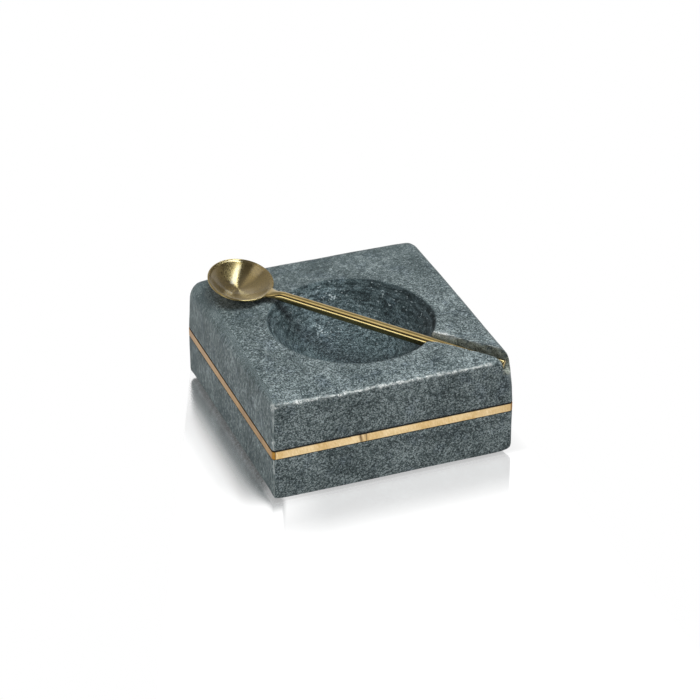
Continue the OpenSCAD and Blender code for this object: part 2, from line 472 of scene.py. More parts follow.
# The round blank, in millimetres: each stretch of it becomes a stretch of the squared block
roundBlank = {
    "radius": 50,
    "rimRadius": 34.15,
    "topWidth": 12,
    "edgeStart": 46.15,
    "edgeRound": 3,
    "upper": (3.5, 18),
    "lower": (0.3, 14),
    "baseStart": 47,
    "baseTop": 4.2,
    # radius and depth of the rings round the hollow's lip
    "lip": ((30.95, 3.22), (31.3, 3.04), (31.65, 2.88), (31.95, 2.66), (32.2, 2.3), (32.42, 1.85),
            (32.62, 1.38), (32.8, 0.95), (32.98, 0.58), (33.18, 0.3), (33.42, 0.12), (33.75, 0.03),
            (34.15, 0.0)),
    # how far in and how far above its top each ring of the band's groove lies
    "groove": ((0, 0.12), (0.1, 0), (1.35, 0), (1.35, -4.35), (0.1, -4.35), (0, -4.47)),
}


def stoneRings():
    # Each ring of the blank: what it becomes, its share there, and its radius and height on the round blank
    rings = []
    dishRadius, dishDrop = stone["dishEdge"]
    rise = stone["hollowDepth"] - dishDrop
    ball = (dishRadius ** 2 + rise ** 2) / (2 * rise)
    for r in np.linspace(0, dishRadius, 60):
        rings.append(("hollow", 0, r, stone["hollowDepth"] - (ball - math.sqrt(ball ** 2 - r ** 2))))
    rings += [("hollow", 0, r, deep) for r, deep in roundBlank["lip"]]
    rings = [(kind, share, r, blockTop - deep) for kind, share, r, deep in rings]
    rim, radius, edgeRound = roundBlank["rimRadius"], roundBlank["radius"], roundBlank["edgeRound"]
    for share in 1 - (1 - np.linspace(0, 1, 27)[1:]) ** 1.25:
        rings.append(("top", share, rim + share * roundBlank["topWidth"], blockTop))
    for share in np.linspace(0, 1, 11)[1:]:
        turn = share * math.pi / 2
        rings.append(("edge", share, roundBlank["edgeStart"] + edgeRound * math.sin(turn),
                      blockTop - edgeRound + edgeRound * math.cos(turn)))
    drop, span = roundBlank["upper"]
    for share in np.linspace(0, 1, 17)[1:-1]:
        rings.append(("upper", share, radius, blockTop - drop - share * span))
    for inset, drop in roundBlank["groove"]:
        rings.append(("groove", (inset, drop), radius - inset, stone["grooveTop"] + drop))
    drop, span = roundBlank["lower"]
    for share in np.linspace(0, 1, 14)[1:-1]:
        rings.append(("lower", share, radius, stone["grooveBottom"] - drop - share * span))
    start = roundBlank["baseStart"]
    for share in np.linspace(0, 1, 9):
        turn = share * math.pi / 2
        rings.append(("base", share, start + edgeRound * math.cos(turn),
                      roundBlank["baseTop"] - edgeRound * math.sin(turn)))
    for share in np.linspace(0, 1, 12)[1:]:
        rings.append(("under", share, start * (1 - share), stone["bottom"]))
    return rings


# How the blank is squared, in millimetres
squaring = {
    # heights at which the faces above and below the band are met
    "upperLevel": 34.0,
    "lowerLevel": 12.0,
    # a spoke that gets this far ends on a side, or on the front or back
    "onSide": 49.2,
    "onEnd": 50.7,
    "leastSlant": 0.3,
    "cornerSlant": 0.72,
    # height that the rounding takes: at the front, at the near part of the left side, elsewhere, at the base
    "frontRoom": 1.4,
    "leftRoom": 5.6,
    "nearPart": (-49, -20),
    "room": 8.2,
    "baseRoom": 5.0,
}


def squarePlaces(places, rings, headings):
    # Moves each vertex of the round blank to its place on the squared block
    radius = np.hypot(places[:, 0], places[:, 1])
    blank = np.array([(ring[2], ring[3]) for ring in rings])
    ringOf = np.empty(len(places), int)
    for first in range(0, len(places), 4000):
        part = slice(first, first + 4000)
        gap = (radius[part, None] - blank[:, 0]) ** 2 + (places[part, 2, None] - blank[:, 1]) ** 2
        ringOf[part] = gap.argmin(1)
    turn = np.arctan2(places[:, 1], places[:, 0]) % (2 * math.pi)
    count = len(headings)
    spokeOf = np.rint(turn / (2 * math.pi) * count).astype(int) % count
    cx, cy = stone["hollowCentre"]
    goX, goY = np.cos(headings), np.sin(headings)
    level = np.zeros(count)
    centre = (np.full(count, cx), np.full(count, cy))

    def outward(z):
        return reachSurface((*centre, z), (goX, goY, level), 90)

    def slanted(startReach, startZ, stepOut, stepUp):
        # where a slanting line from inside the block meets its surface
        size = np.hypot(stepOut, stepUp)
        x, y = cx + startReach * goX, cy + startReach * goY
        direction = (stepOut / size * goX, stepOut / size * goY, stepUp / size)
        far = reachSurface((x, y, startZ), direction, 40)
        return startReach + far * stepOut / size, startZ + far * stepUp / size

    fullReach = outward(np.full(count, squaring["upperLevel"]))
    edgeX, edgeY = cx + fullReach * goX, cy + fullReach * goY
    edgeTop = topHeight(edgeX, edgeY)
    # slant of each spoke against the face that it meets
    slant = np.maximum(np.abs(goX) * (np.abs(edgeX) > squaring["onSide"]),
                       np.abs(goY) * (np.abs(edgeY) > squaring["onEnd"]))
    slant = np.where(slant < squaring["leastSlant"], squaring["cornerSlant"], slant)
    room = np.where(edgeY < -squaring["onEnd"], squaring["frontRoom"], squaring["room"])
    nearX, nearY = squaring["nearPart"]
    room = np.where((edgeX < nearX) & (edgeY < nearY), squaring["leftRoom"], room)
    for _ in range(12):
        room = (np.roll(room, 1) + room + np.roll(room, -1)) / 3
        slant = (np.roll(slant, 1) + slant + np.roll(slant, -1)) / 3
    edgeIn = room / slant
    anchorZ = edgeTop - room
    anchorReach = fullReach - edgeIn
    baseReach = outward(np.full(count, squaring["lowerLevel"]))
    baseRoom = squaring["baseRoom"]
    baseIn = baseRoom / slant
    rim = roundBlank["rimRadius"]
    result = np.empty_like(places)
    for number, (kind, share, r, z) in enumerate(rings):
        if kind == "hollow":
            reach = np.full(count, r)
            deep = blockTop - z
            height = topHeight(cx + rim * goX, cy + rim * goY)
            fade = np.clip(1 - deep / 14, 0, 1)
            height = (height - deep) * fade + (z - 0.2) * (1 - fade)
        elif kind == "top":
            reach = rim + share * (anchorReach - rim)
            x, y = cx + reach * goX, cy + reach * goY
            height = 25 + reachSurface((x, y, level + 25), (level, level, level + 1), 30)
        elif kind == "edge":
            turn = share * math.pi / 2
            reach, height = slanted(anchorReach, anchorZ, math.sin(turn) * edgeIn, math.cos(turn) * room)
            lastEdge = height
        elif kind == "upper":
            height = lastEdge + (stone["grooveTop"] + 0.12 - lastEdge) * share
            reach = outward(height)
        elif kind == "groove":
            inset, drop = share
            height = level + stone["grooveTop"] + drop
            reach = outward(height) - inset / slant
        elif kind == "lower":
            start, end = stone["grooveBottom"] - 0.12, stone["bottom"] + 5
            height = level + start + (end - start) * share
            reach = outward(height)
        elif kind == "base":
            turn = share * math.pi / 2
            startZ = level + stone["bottom"] + baseRoom
            reach, height = slanted(baseReach - baseIn, startZ, math.cos(turn) * baseIn,
                                    -math.sin(turn) * baseRoom)
            lastBase = reach
        else:
            reach = lastBase * (1 - share)
            height = level + stone["bottom"]
        mine = np.nonzero(ringOf == number)[0]
        spoke = spokeOf[mine]
        result[mine, 0] = cx + reach[spoke] * goX[spoke]
        result[mine, 1] = cy + reach[spoke] * goY[spoke]
        result[mine, 2] = height[spoke]
    return result, ringOf


rings = stoneRings()
block = drawProfile("stoneBlock", [(r, 0, z) for _, _, r, z in rings])
spinProfile(stone["spokes"])
squared, ringOf = squarePlaces(vertexPlaces(block), rings, outlineSpokes(stone["spokes"]))
print("stone squared:", len(squared), "vertices")


def workMarks(places, ringOf, rings):
    # What the tools left: rings in the hollow, slow waves of the honing on the faces
    hollowRings = np.array([ring[0] == "hollow" for ring in rings])[ringOf]
    cx, cy = stone["hollowCentre"]
    result = places.copy()
    for i, (x, y, z) in enumerate(places):
        if hollowRings[i]:
            r = math.hypot(x - cx, y - cy)
            turn = math.atan2(y - cy, x - cx)
            if 0.5 < r < stone["dishEdge"][0]:
                chatter = noise.noise(Vector((r / 1.1, math.cos(turn) * 0.8, math.sin(turn) * 0.8)))
                swell = noise.noise(Vector((x / 7, y / 7, 4.2)))
                result[i, 2] += 0.09 * chatter + 0.16 * swell
            elif r < 33.4:
                swell = noise.noise(Vector((x / 5, y / 5, 1.9)))
                result[i, 0] += (x - cx) / r * 0.14 * swell
                result[i, 1] += (y - cy) / r * 0.14 * swell
        elif z > 30:
            wave = noise.noise(Vector((x / 3.5, y / 3.5, z / 3.5)))
            result[i, 2] += 0.045 * wave
    return result


moveVertices(block, workMarks(squared, ringOf, rings))
turnOutwards(block)

# Slot cutter: a long box with its lower edges beveled round, sliced along and up, and roughened
slotCutter = startPiece("slotCutter", bpy.ops.mesh.primitive_cube_add, size=1)
cutLength = slotCut["length"] + slotCut["endInset"] + slotCut["width"]
bpy.ops.transform.resize(value=(cutLength * mm, slotCut["width"] * mm, slotCut["cutHeight"] * mm))
bpy.ops.transform.translate(value=(
    (slotCut["length"] - slotCut["endInset"] - slotCut["width"]) / 2 * mm, 0, slotCut["cutHeight"] / 2 * mm))
selectBy("edges", lambda e: all(v.co.z < mm for v in e.verts) and abs(e.verts[0].co.x - e.verts[1].co.x) > mm)
bpy.ops.mesh.bevel(offset=slotCut["width"] / 2 * 0.999 * mm, segments=12)
slices = [((along * mm, 0, 0), (1, 0, 0)) for along in np.arange(
    -slotCut["endInset"] - slotCut["overrun"], slotCut["length"], slotCut["sliceStep"])]
slices += [((0, 0, up * mm), (0, 0, 1)) for up in np.arange(*slotCut["slicesUp"])]
for place, normal in slices:
    selectAll()
    bpy.ops.mesh.bisect(plane_co=place, plane_no=normal)
endEdit()

rough = vertexPlaces(slotCutter)
flareStart, flareLength, flareDepth = slotCut["flare"]
for i, (x, y, z) in enumerate(rough):
    if z > 12 or x < -10:
        continue
    wall = min(abs(y) / (slotCut["width"] / 2), 1) * (1 if y > 0 else -1)
    coarse = noise.fractal(Vector((x / 2.2, y / 2.0, z / 1.6)), 1.0, 2.0, 3)
    # the wall behind the handle was left rougher, with a chipped upper edge
    amount = slotCut["rough"] * slotCut["roughGains"][0 if y < 0 else 1] * (0.5 + min(z / 8, 1))
    rough[i, 1] += wall * amount * (0.4 + coarse)
    if y < 0 and z > 4:
        chips = noise.fractal(Vector((x / 0.9, z / 1.1, 7.7)), 1.0, 2.0, 2)
        rough[i, 1] += wall * slotCut["chips"] * max(0, chips) * min(1, (z - 4) / 4)
    rough[i, 2] += -0.1 * coarse * (1 - abs(wall))
    if y > 0:
        # the near corner between slot and hollow is rounded off, more at its top
        flare = max(0, min(1, (x - flareStart) / flareLength)) ** 2 * max(0, min(1, (z - 2) / 4))
        rough[i, 1] += wall * flareDepth * flare
rough = np.array([alongSlot @ Vector(p) for p in rough])
moveVertices(slotCutter, rough)
turnOutwards(slotCutter)
pickOnly(block)
cutting = block.modifiers.new("boolean", "BOOLEAN")
cutting.operation = "DIFFERENCE"
cutting.solver = "EXACT"
cutting.object = slotCutter
bpy.ops.object.modifier_apply(modifier=cutting.name)
bpy.data.objects.remove(slotCutter)
smoothShading(block, 42)
print("slot cut:", len(block.data.polygons), "faces")


def addAttribute(piece, name, values):
    attribute = piece.data.attributes.new(name, "FLOAT", "POINT")
    attribute.data.foreach_set("value", np.asarray(values, np.float32))


# Worn and chipped edges, in millimetres: widths, their gain along an edge, and places of single chips
wearing = {
    "arris": (0.66, 0.4),
    "arrisGain": ((-50, -47, -44, -40, 20, 39, 42, 44), (1.5, 1.0, 0.7, 1, 1, 0.9, 0.7, 0.1)),
    "nearEdge": (0.26, 0.42),
    "nearEdgeAt": (-49.6, -51.1),
    "nearCornerAt": (-49.3, -50.6, 42.6),
    "lip": (0.62, 0.12),
    "lipGain": ((-6, 0, 8, 20, 24, 29), (1.6, 1.0, 0.4, 0.5, 1.7, 2.4)),
    "lipEnd": 41,
    "slotMouth": (-3.2, -1.2, -0.8),
}


def stoneAttributes(piece):
    # edgeWear: distance from a worn edge over that edge's half width of wear
    # slotStain: 1 on the walls of the slot; hollowWork: 1 in the hollow
    places = vertexPlaces(piece)
    x, y, z = places.T
    depth = stone["halfDepth"]
    slotBack = np.array(alongSlot.inverted())
    local = places @ slotBack[:3, :3].T + slotBack[:3, 3]
    across = np.abs(local[:, 1])
    top = topHeight(x, y)
    frontGap = np.hypot(y + depth, z - (topHeight(x, np.full_like(x, -depth)) - 0.1))
    least, swing = wearing["arris"]
    halfWidth = least + swing * np.interp(x, *arrisWear)
    halfWidth = halfWidth * np.interp(x, *wearing["arrisGain"])
    wear = frontGap / np.clip(halfWidth, 0.1, 2)
    # the near edge is only rubbed, here and there
    edgeX, edgeY = wearing["nearEdgeAt"]
    nearGap = np.hypot(x - edgeX, y - edgeY)
    least, swing = wearing["nearEdge"]
    nearWidth = least + swing * np.interp(z, *cornerWear)
    wear = np.minimum(wear, nearGap / np.clip(nearWidth, 0.05, 1) + 0.3)
    cornerX, cornerY, cornerZ = wearing["nearCornerAt"]
    cornerGap = np.sqrt((x - cornerX) ** 2 + (y - cornerY) ** 2 + ((z - cornerZ) / 1.6) ** 2)
    wear = np.minimum(wear, cornerGap / 1.5 + 0.2)
    lipGap = np.hypot(np.clip(across - slotCut["width"] / 2, 0, 9), np.clip(top - z, 0, 9))
    back = local[:, 1] < 0
    onLip = (local[:, 0] < wearing["lipEnd"]) & (z > 36)
    lipWidth = np.where(back, *wearing["lip"]) * np.interp(local[:, 0], *wearing["lipGain"])
    wear = np.minimum(wear, np.where(onLip, lipGap / lipWidth, 9))
    # chips where the slot leaves the block
    chipGap = np.linalg.norm(places - np.array(alongSlot @ Vector(wearing["slotMouth"])), axis=1)
    wear = np.minimum(wear, chipGap / 1.7 + 0.3)
    addAttribute(piece, "edgeWear", np.clip(wear, 0, 9))
    cx, cy = stone["hollowCentre"]
    r = np.hypot(x - cx, y - cy)
    inside = (across < slotCut["width"] / 2 + 0.35) & (top - z > 0.25) & (z > 34) & (r > 32.6)
    inside = inside & (local[:, 0] < wearing["lipEnd"]) & (local[:, 2] > -0.15)
    addAttribute(piece, "slotStain", inside.astype(float))
    hollow = np.clip((34.0 - r) / 0.8, 0, 1) * (z > 20)
    addAttribute(piece, "hollowWork", hollow)


stoneAttributes(block)

# Where white quartz specks crowd in the hollow, from its middle, and how far they spread; in millimetres
quartzClusters = (((-3.9, 18.1, 0), (11, 8, 1)), ((2.0, 29.0, 0), (9, 3, 1)))

stoneTones = {
    "dark": "#1A2426",
    "middle": "#4A5657",
    "pale": "#98A4A5",
    "patches": "#E2E6EE",
    "hollow": "#C0CCD0",
    "steepWallShade": "#A4A6A7",
    "specks": "#B9C6C9",
    "arcs": "#A3B1B5",
    "quartz": "#AEB8B9",
    "stainAndLight": ("#272C27", "#A8AFA2"),
    "chalk": ("#75807F", "#F4F6F3"),
}

# Size of each layer of the stone's pattern in millimetres, and its share in the tone
stoneSizes = {"clouds": 16, "mottle": 2.8, "grain": 0.62, "crystals": 0.46, "flakes": 1.0, "wheel": 0.75,
              "patches": 7, "loose": 4, "specks": 1.1, "arcs": 0.55, "quartz": 1.5}
stoneShares = {"clouds": 0.45, "mottle": 0.5, "grain": 0.78, "crystals": 0.6, "flakes": 0.1, "wheel": 1.5}


def honedMarble():
    # Honed green-grey marble: a fine salt-and-pepper grain with pale quartz grains. It is matt and dark where
    # it is honed, and shows chalky white where an edge is worn or chipped.
    material, tree, shader = newMaterial("honedMarble")
    place = placeOnPiece(tree)
    facing = axesOf(tree, addNode(tree, "ShaderNodeNewGeometry").outputs["Normal"])
    sideways = mapped(tree, calc(tree, "ABSOLUTE", facing["X"]), 0.45, 0.8)
    hollow, stainAndLight, edge = (addNode(tree, "ShaderNodeAttribute", attribute_name=name).outputs["Fac"]
                           for name in ("hollowWork", "slotStain", "edgeWear"))

    # slow clouds of the stone's body
    clouds = noiseField(tree, place, stoneSizes["clouds"], 4, 0.55)
    # mottling and grain, both drawn out upwards on the sawn left and right faces
    sawn = vectorCalc(tree, "MULTIPLY", place, (1, 1, 0.38))
    sawn = addNode(tree, "ShaderNodeMix", {0: sideways, 4: place, 5: sawn}, data_type="VECTOR").outputs[1]
    mottle = noiseField(tree, sawn, stoneSizes["mottle"], 3, 0.6)
    grain = noiseField(tree, sawn, stoneSizes["grain"], 3, 0.85)
    # crystals and larger flakes, each with its own tone
    crystalTone, flakeTone = (channel(tree, cellsOf(tree, sawn, stoneSizes[name])["Color"], 0)
                              for name in ("crystals", "flakes"))

    # circular marks of the grinding wheel in the hollow
    cx, cy = stone["hollowCentre"]
    centred = vectorCalc(tree, "SUBTRACT", place, (cx, cy, 0))
    parts = axesOf(tree, centred)
    flat = addNode(tree, "ShaderNodeCombineXYZ", {0: parts[0], 1: parts[1]}).outputs[0]
    reach = measure(tree, "LENGTH", flat)
    unit = vectorCalc(tree, "NORMALIZE", flat)
    slow = vectorCalc(tree, "MULTIPLY", unit, (4.5, 4.5, 0))
    outwards = addNode(tree, "ShaderNodeCombineXYZ", {2: reach}).outputs[0]
    polar = vectorCalc(tree, "ADD", slow, outwards)
    wheel = noiseField(tree, polar, stoneSizes["wheel"], 3, 0.7)

    def weighted(value, gain, onto):
        centredValue = calc(tree, "ADD", value, -0.5)
        return calc(tree, "MULTIPLY_ADD", centredValue, gain, onto)

    def scaled(value, gain):
        return calc(tree, "MULTIPLY", value, gain)

    def tinted(mask, name, mode="MIX"):
        return blended(tree, mask, colour, linear(stoneTones[name]), mode)

    # the grain is smoother towards the back and on the sawn sides, and the mottling fades in the hollow
    farther = axesOf(tree, place)["Y"]
    smoothBack = mapped(tree, farther, 0.0, 45.0, 1.0, 0.45)
    smoothSide = mapped(tree, sideways, 0.0, 1.0, 1.0, 0.6)
    fine = scaled(smoothBack, smoothSide)
    coarse = mapped(tree, hollow, 0.0, 1.0, 1.0, 0.4)
    tone = weighted(clouds, stoneShares["clouds"], 0.5)
    tone = weighted(mottle, scaled(scaled(coarse, smoothSide), stoneShares["mottle"]), tone)
    tone = weighted(grain, scaled(fine, stoneShares["grain"]), tone)
    tone = weighted(crystalTone, scaled(fine, stoneShares["crystals"]), tone)
    tone = weighted(flakeTone, scaled(coarse, stoneShares["flakes"]), tone)
    wheelGain = scaled(hollow, stoneShares["wheel"])
    tone = weighted(wheel, wheelGain, tone)
    colour = ramped(tree, tone, [(stop, linear(stoneTones[name]))
                                 for stop, name in ((0.12, "dark"), (0.5, "middle"), (0.9, "pale"))])

    # bluish patches
    patches = noiseField(tree, sawn, stoneSizes["patches"], 3, 0.6)
    patches = mapped(tree, patches, 0.52, 0.72)
    colour = tinted(patches, "patches", "MULTIPLY")

    # hollow: darker and bluer, where the wheel polished it
    colour = blended(tree, hollow, colour, tinted(1.0, "hollow", "MULTIPLY"))
    # its steep wall is darker still, most at the right: painted shade
    paintedWallShade = mapped(tree, reach, 19.0, 31.0)
    towards = measure(tree, "DOT_PRODUCT", unit, (0.932, -0.362, 0))
    towards = mapped(tree, towards, -0.4, 1.0)
    paintedWallShade = scaled(scaled(paintedWallShade, towards), hollow)
    colour = tinted(paintedWallShade, "steepWallShade", "MULTIPLY")

    # clusters of white specks in the hollow
    loose = noiseField(tree, place, stoneSizes["loose"], 2, 0.5)
    loose = mapped(tree, loose, 0.35, 0.6, 0.1, 1.0)
    cluster = None
    for middle, size in quartzClusters:
        gap = vectorCalc(tree, "ADD", flat, [-c for c in middle])
        gap = vectorCalc(tree, "MULTIPLY", gap, [1 / c for c in size])
        gap = measure(tree, "LENGTH", gap)
        gap = mapped(tree, gap, 0.2, 1.0, 0.46, 0.0)
        if cluster:
            gap = calc(tree, "MAXIMUM", cluster, gap)
        cluster = gap
    cluster = scaled(cluster, loose)
    specks = calc(tree, "SUBTRACT", cluster, cellsOf(tree, place, stoneSizes["specks"])["Distance"])
    specks = mapped(tree, specks, 0.0, 0.14, 0.0, 0.7)
    specks = scaled(specks, hollow)
    colour = tinted(specks, "specks")

    # whitish arcs that single grains of the wheel scratched
    arcs = vectorCalc(tree, "MULTIPLY", slow, (2.0, 2.0, 0))
    arcs = vectorCalc(tree, "ADD", arcs, outwards)
    arcs = noiseField(tree, arcs, stoneSizes["arcs"], 2, 0.7)
    arcs = mapped(tree, arcs, 0.62, 0.72, 0.0, 0.75)
    arcs = scaled(arcs, hollow)
    colour = tinted(arcs, "arcs")

    # scattered pale quartz grains, under a millimetre across
    quartz = cellsOf(tree, place, stoneSizes["quartz"])
    quartzSize = channel(tree, quartz["Color"], 1)
    rare = mapped(tree, quartzSize, 0.6, 1.0, 0.0, 0.3)
    nearby = calc(tree, "SUBTRACT", rare, quartz["Distance"])
    quartzMask = mapped(tree, nearby, -0.05, 0.16, 0.0, 0.4)
    colour = tinted(quartzMask, "quartz")

    # brass rubbed off and dirt in the slot; its pale tones also lighten the slot's shaded walls: partly
    # painted light
    stainGrain = weighted(crystalTone, 1.1, weighted(grain, 4.0, 0.42))
    stainAndLightTone = blended(tree, stainGrain, *map(linear, stoneTones["stainAndLight"]))
    stainNoise = mapped(tree, mottle, 0.3, 0.6, 0.3, 1.0)
    stainAndLightMask = scaled(stainAndLight, stainNoise)
    colour = blended(tree, stainAndLightMask, colour, stainAndLightTone)

    # worn edges, with a ragged border
    ragged = calc(tree, "MULTIPLY_ADD", grain, 4.4, -2.2)
    ragged = weighted(flakeTone, 1.5, weighted(crystalTone, 1.2, ragged))
    worn = calc(tree, "ADD", edge, ragged)
    wornMask = mapped(tree, worn, 1.35, 0.5, 0.0, 0.8)
    chalk = weighted(crystalTone, 1.4, weighted(grain, 2.4, 0.5))
    wornTone = blended(tree, chalk, *map(linear, stoneTones["chalk"]))
    colour = blended(tree, wornMask, colour, wornTone)

    roughness = mapped(tree, tone, 0.1, 0.9, 0.72, 0.5)
    relief = calc(tree, "ADD", grain, crystalTone)
    relief = calc(tree, "MULTIPLY_ADD", wheel, wheelGain, relief)
    setInputs(tree, shader, {"Base Color": colour, "Roughness": roughness, "IOR": 1.55,
                             "Specular IOR Level": 0.3, "Normal": bumped(tree, relief, 0.5, 0.12)})
    return material


giveMaterial(block, honedMarble())
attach(block, "block")
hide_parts("stone_block")
print("stone finished")


def brushedBrass(name, pale, deep, grainSize, roughness, relief, lean=0.0, joints=()):
    # Brushed yellow brass: a bright metal whose fine parallel scratches blur what it mirrors
    material, tree, shader = newMaterial(name)
    place = placeOnPiece(tree)
    leaning = addNode(tree, "ShaderNodeVectorRotate",
                      {"Vector": place, "Axis": (0.7, 0.7, 0), "Angle": math.radians(lean)}).outputs[0]
    stretched = vectorCalc(tree, "MULTIPLY", leaning, grainSize)
    scratches = noiseField(tree, stretched, 1, 3, 0.7)
    tarnish = noiseField(tree, place, 7, 3, 0.6)
    mixed = calc(tree, "ADD", tarnish, scratches)
    factor = mapped(tree, mixed, 0.7, 1.3)
    colour = blended(tree, factor, linear(deep), linear(pale))
    for joint in joints:
        # brown traces of the resin that ran out at a butt joint, a little aslant
        gap = measure(tree, "DOT_PRODUCT", place, (1, 0, 0.3))
        gap = calc(tree, "ADD", gap, -joint - 0.3 * stone["bandMiddle"])
        gap = calc(tree, "ABSOLUTE", gap)
        gap = mapped(tree, gap, 0.1, 1.1, 1.0, 0.0)
        gap = calc(tree, "MULTIPLY", gap, factor)
        colour = blended(tree, gap, colour, linear("#6E4A22"))
    rough = mapped(tree, scratches, 0.3, 0.7, roughness - 0.05, roughness + 0.07)
    setInputs(tree, shader, {"Base Color": colour, "Metallic": 1.0, "Roughness": rough,
                             "Normal": bumped(tree, scratches, relief, 0.02)})
    return material, shader


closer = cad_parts["strip_front_closer"]
closerEnds = [(closer.matrix_world @ v.co).x / mm for v in closer.data.vertices]
stripScratches = (1.6, 1.6, 0.25)
strips = (
    ("brushedBrassFront", "#EAD3A8", "#C9A66E", (min(closerEnds), max(closerEnds)),
     ("strip_front_left", "strip_front_closer", "strip_front_right")),
    # the left and right strips are the same brass in darker colours: painted shade
    ("brushedBrassSideShaded", "#B28845", "#8A622C", (), ("strip_left", "strip_right")),
    ("brushedBrassBack", "#EAD3A8", "#C9A66E", (), ("strip_back",)),
)
for name, pale, deep, joints, nodes in strips:
    brass = brushedBrass(name, pale, deep, stripScratches, 0.32, 0.5, 25, joints)[0]
    for node in nodes:
        giveMaterial(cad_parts[node], brass)


def plainFinish(name, tone, speck, roughness, grainSize):
    # Black filled resin or moulded rubber: dark, with a dusty grain that breaks its gloss
    material, tree, shader = newMaterial(name)
    coordinates = addNode(tree, "ShaderNodeTexCoord").outputs["Object"]
    dust = noiseField(tree, coordinates, grainSize * mm, 4, 0.6)
    factor = mapped(tree, dust, 0.35, 0.75)
    colour = blended(tree, factor, linear(tone), linear(speck))
    rough = mapped(tree, dust, 0.3, 0.7, roughness - 0.08, roughness + 0.1)
    setInputs(tree, shader, {"Base Color": colour, "Roughness": rough,
                             "Normal": bumped(tree, dust, 0.4, 0.03)})
    return material


# The resin has shrunk back between the strips and the stone. It is a block beveled at its upright corners,
# whose ends are inset, opened and bridged into a ring.
resinBed = {"shrunk": 0.24, "thick": 1.1, "bottom": 19.27, "top": 23.58, "corner": 1.3}
resin = startPiece("resinBed", bpy.ops.mesh.primitive_cube_add, size=1,
                   location=(0, 0, (resinBed["bottom"] + resinBed["top"]) / 2 * mm))
bpy.ops.transform.resize(value=(
    2 * (stone["halfWidth"] - resinBed["shrunk"]) * mm, 2 * (stone["halfDepth"] - resinBed["shrunk"]) * mm,
    (resinBed["top"] - resinBed["bottom"]) * mm))
selectBy("edges", lambda e: abs(e.verts[0].co.z - e.verts[1].co.z) > mm)
bpy.ops.mesh.bevel(offset=resinBed["corner"] * mm, segments=5)
selectBy("faces", lambda f: abs(f.normal.z) > 0.9)
bpy.ops.mesh.inset(thickness=resinBed["thick"] * mm)
bpy.ops.mesh.delete(type="FACE")
selectBy("edges", lambda e: e.is_boundary)
bpy.ops.mesh.bridge_edge_loops()
closeUp()
pickOnly(resin)
bpy.ops.object.transform_apply(location=True, rotation=True, scale=True)
resin.data.materials.append(plainFinish("blackResin", "#040505", "#0C0D0E", 0.7, 0.6))
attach(resin, "block")
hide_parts("inlay_adhesive")

giveMaterial(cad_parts["foot_adhesive"], plainFinish("foamTape", "#1B1C1D", "#323435", 0.85, 0.4))
rubber = plainFinish("mouldedRubber", "#101111", "#2A2B2C", 0.7, 0.5)
for node in ("foot_front_left", "foot_front_right", "foot_back_left", "foot_back_right"):
    giveMaterial(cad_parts[node], rubber)
print("strips, adhesive and feet finished")


# Spoon bowl: a wall spun round the middle of the rim plane, drawn out to an oval
def bowlProfile():
    half = spoon["spunRadius"]
    deep, wall, rimWall = spoon["bowlDepth"], spoon["wall"], spoon["rimWall"]
    ball = (half ** 2 + deep ** 2) / (2 * deep)
    slope = math.asin(half / ball)
    outside = [(r, -(math.sqrt(ball ** 2 - r ** 2) - (ball - deep))) for r in np.linspace(0, half - 0.2, 26)]
    points = [(r, 0, z) for r, z in outside]
    lip = rimWall / 2
    for turn in np.linspace(-30, 190, 12):
        a = math.radians(turn) + slope - math.pi / 2 + math.radians(8)
        points.append((half - lip + lip * math.cos(a), 0, -lip + lip * math.sin(a)))
    for r, z in reversed(outside[:-1]):
        # the wall thins from the bowl's bottom to its rim
        thick = wall + (rimWall - wall) * (r / half) ** 2
        lean = math.asin(r / ball)
        points.append((r - thick * math.sin(lean) if r > 0 else 0, 0, z + thick * math.cos(lean)))
    return points


bowl = drawProfile("spoonBowl", bowlProfile())
spinProfile(spoon["bowlSpokes"])
atBowl = (alongSpoon @ Matrix.Translation((spoon["handleLength"], 0, 0))
          @ Matrix.Rotation(-math.radians(spoon["bowlPitch"]), 4, "Y")
          @ Matrix.Translation((spoon["bowlLength"] / 2, 0, 0)))
bowlRound = vertexPlaces(bowl)
rimFaces = {face.index for face in bowl.data.polygons
            if min(math.hypot(*bowlRound[v][:2]) for v in face.vertices) > spoon["rimFrom"]}
bowlRound[:, 0] *= spoon["bowlLength"] / (2 * spoon["spunRadius"])
bowlRound[:, 1] *= spoon["bowlWidth"] / (2 * spoon["spunRadius"])
moveVertices(bowl, bowlRound)

# Each face of the bowl gets its turn and reach about the middle, for the spun finish
uvLayer = bowl.data.uv_layers.new(name="spin")
for face in bowl.data.polygons:
    corners = [bowl.data.vertices[bowl.data.loops[loop].vertex_index].co for loop in face.loop_indices]
    middle = math.atan2(sum(co.y for co in corners), sum(co.x for co in corners)) / (2 * math.pi)
    for loop, co in zip(face.loop_indices, corners):
        turn = math.atan2(co.y, co.x) / (2 * math.pi)
        reach = math.hypot(co.x, co.y)
        turn = middle if reach < 1e-6 else turn + round(middle - turn)
        uvLayer.data[loop].uv = (turn, reach / (spoon["bowlWidth"] / 2 * mm))
moveVertices(bowl, [atBowl @ Vector(p) for p in vertexPlaces(bowl)])
smoothShading(bowl, 60)


# Spoon handle: a rod of short rings, tapered and flared into the neck
def handleRings():
    # place along the rod, half width, half height
    length, neck = spoon["handleLength"], spoon["neckLength"]
    rod, thin = spoon["rodRadius"], spoon["neckRadius"]
    endWidth, endHeight = spoon["neckEnd"]
    steps = [(0.0, rod - 0.55, rod - 0.55), (0.12, rod - 0.3, rod - 0.3), (0.35, rod - 0.1, rod - 0.1),
             (0.7, rod, rod)]
    for along in np.linspace(6, length - neck - spoon["taperLength"], 12):
        steps.append((along, rod, rod))
    for share in np.linspace(0, 1, 9)[1:]:
        size = rod + (thin - rod) * share
        steps.append((length - neck - spoon["taperLength"] * (1 - share), size, size))
    for share in np.linspace(0, 1, 15)[1:]:
        widen = share ** 2.6
        steps.append((length - neck + (neck + spoon["neckInto"]) * share, thin + (endWidth - thin) * widen,
                      thin + (endHeight - thin) * (3 * share ** 2 - 2 * share ** 3)))
    return steps


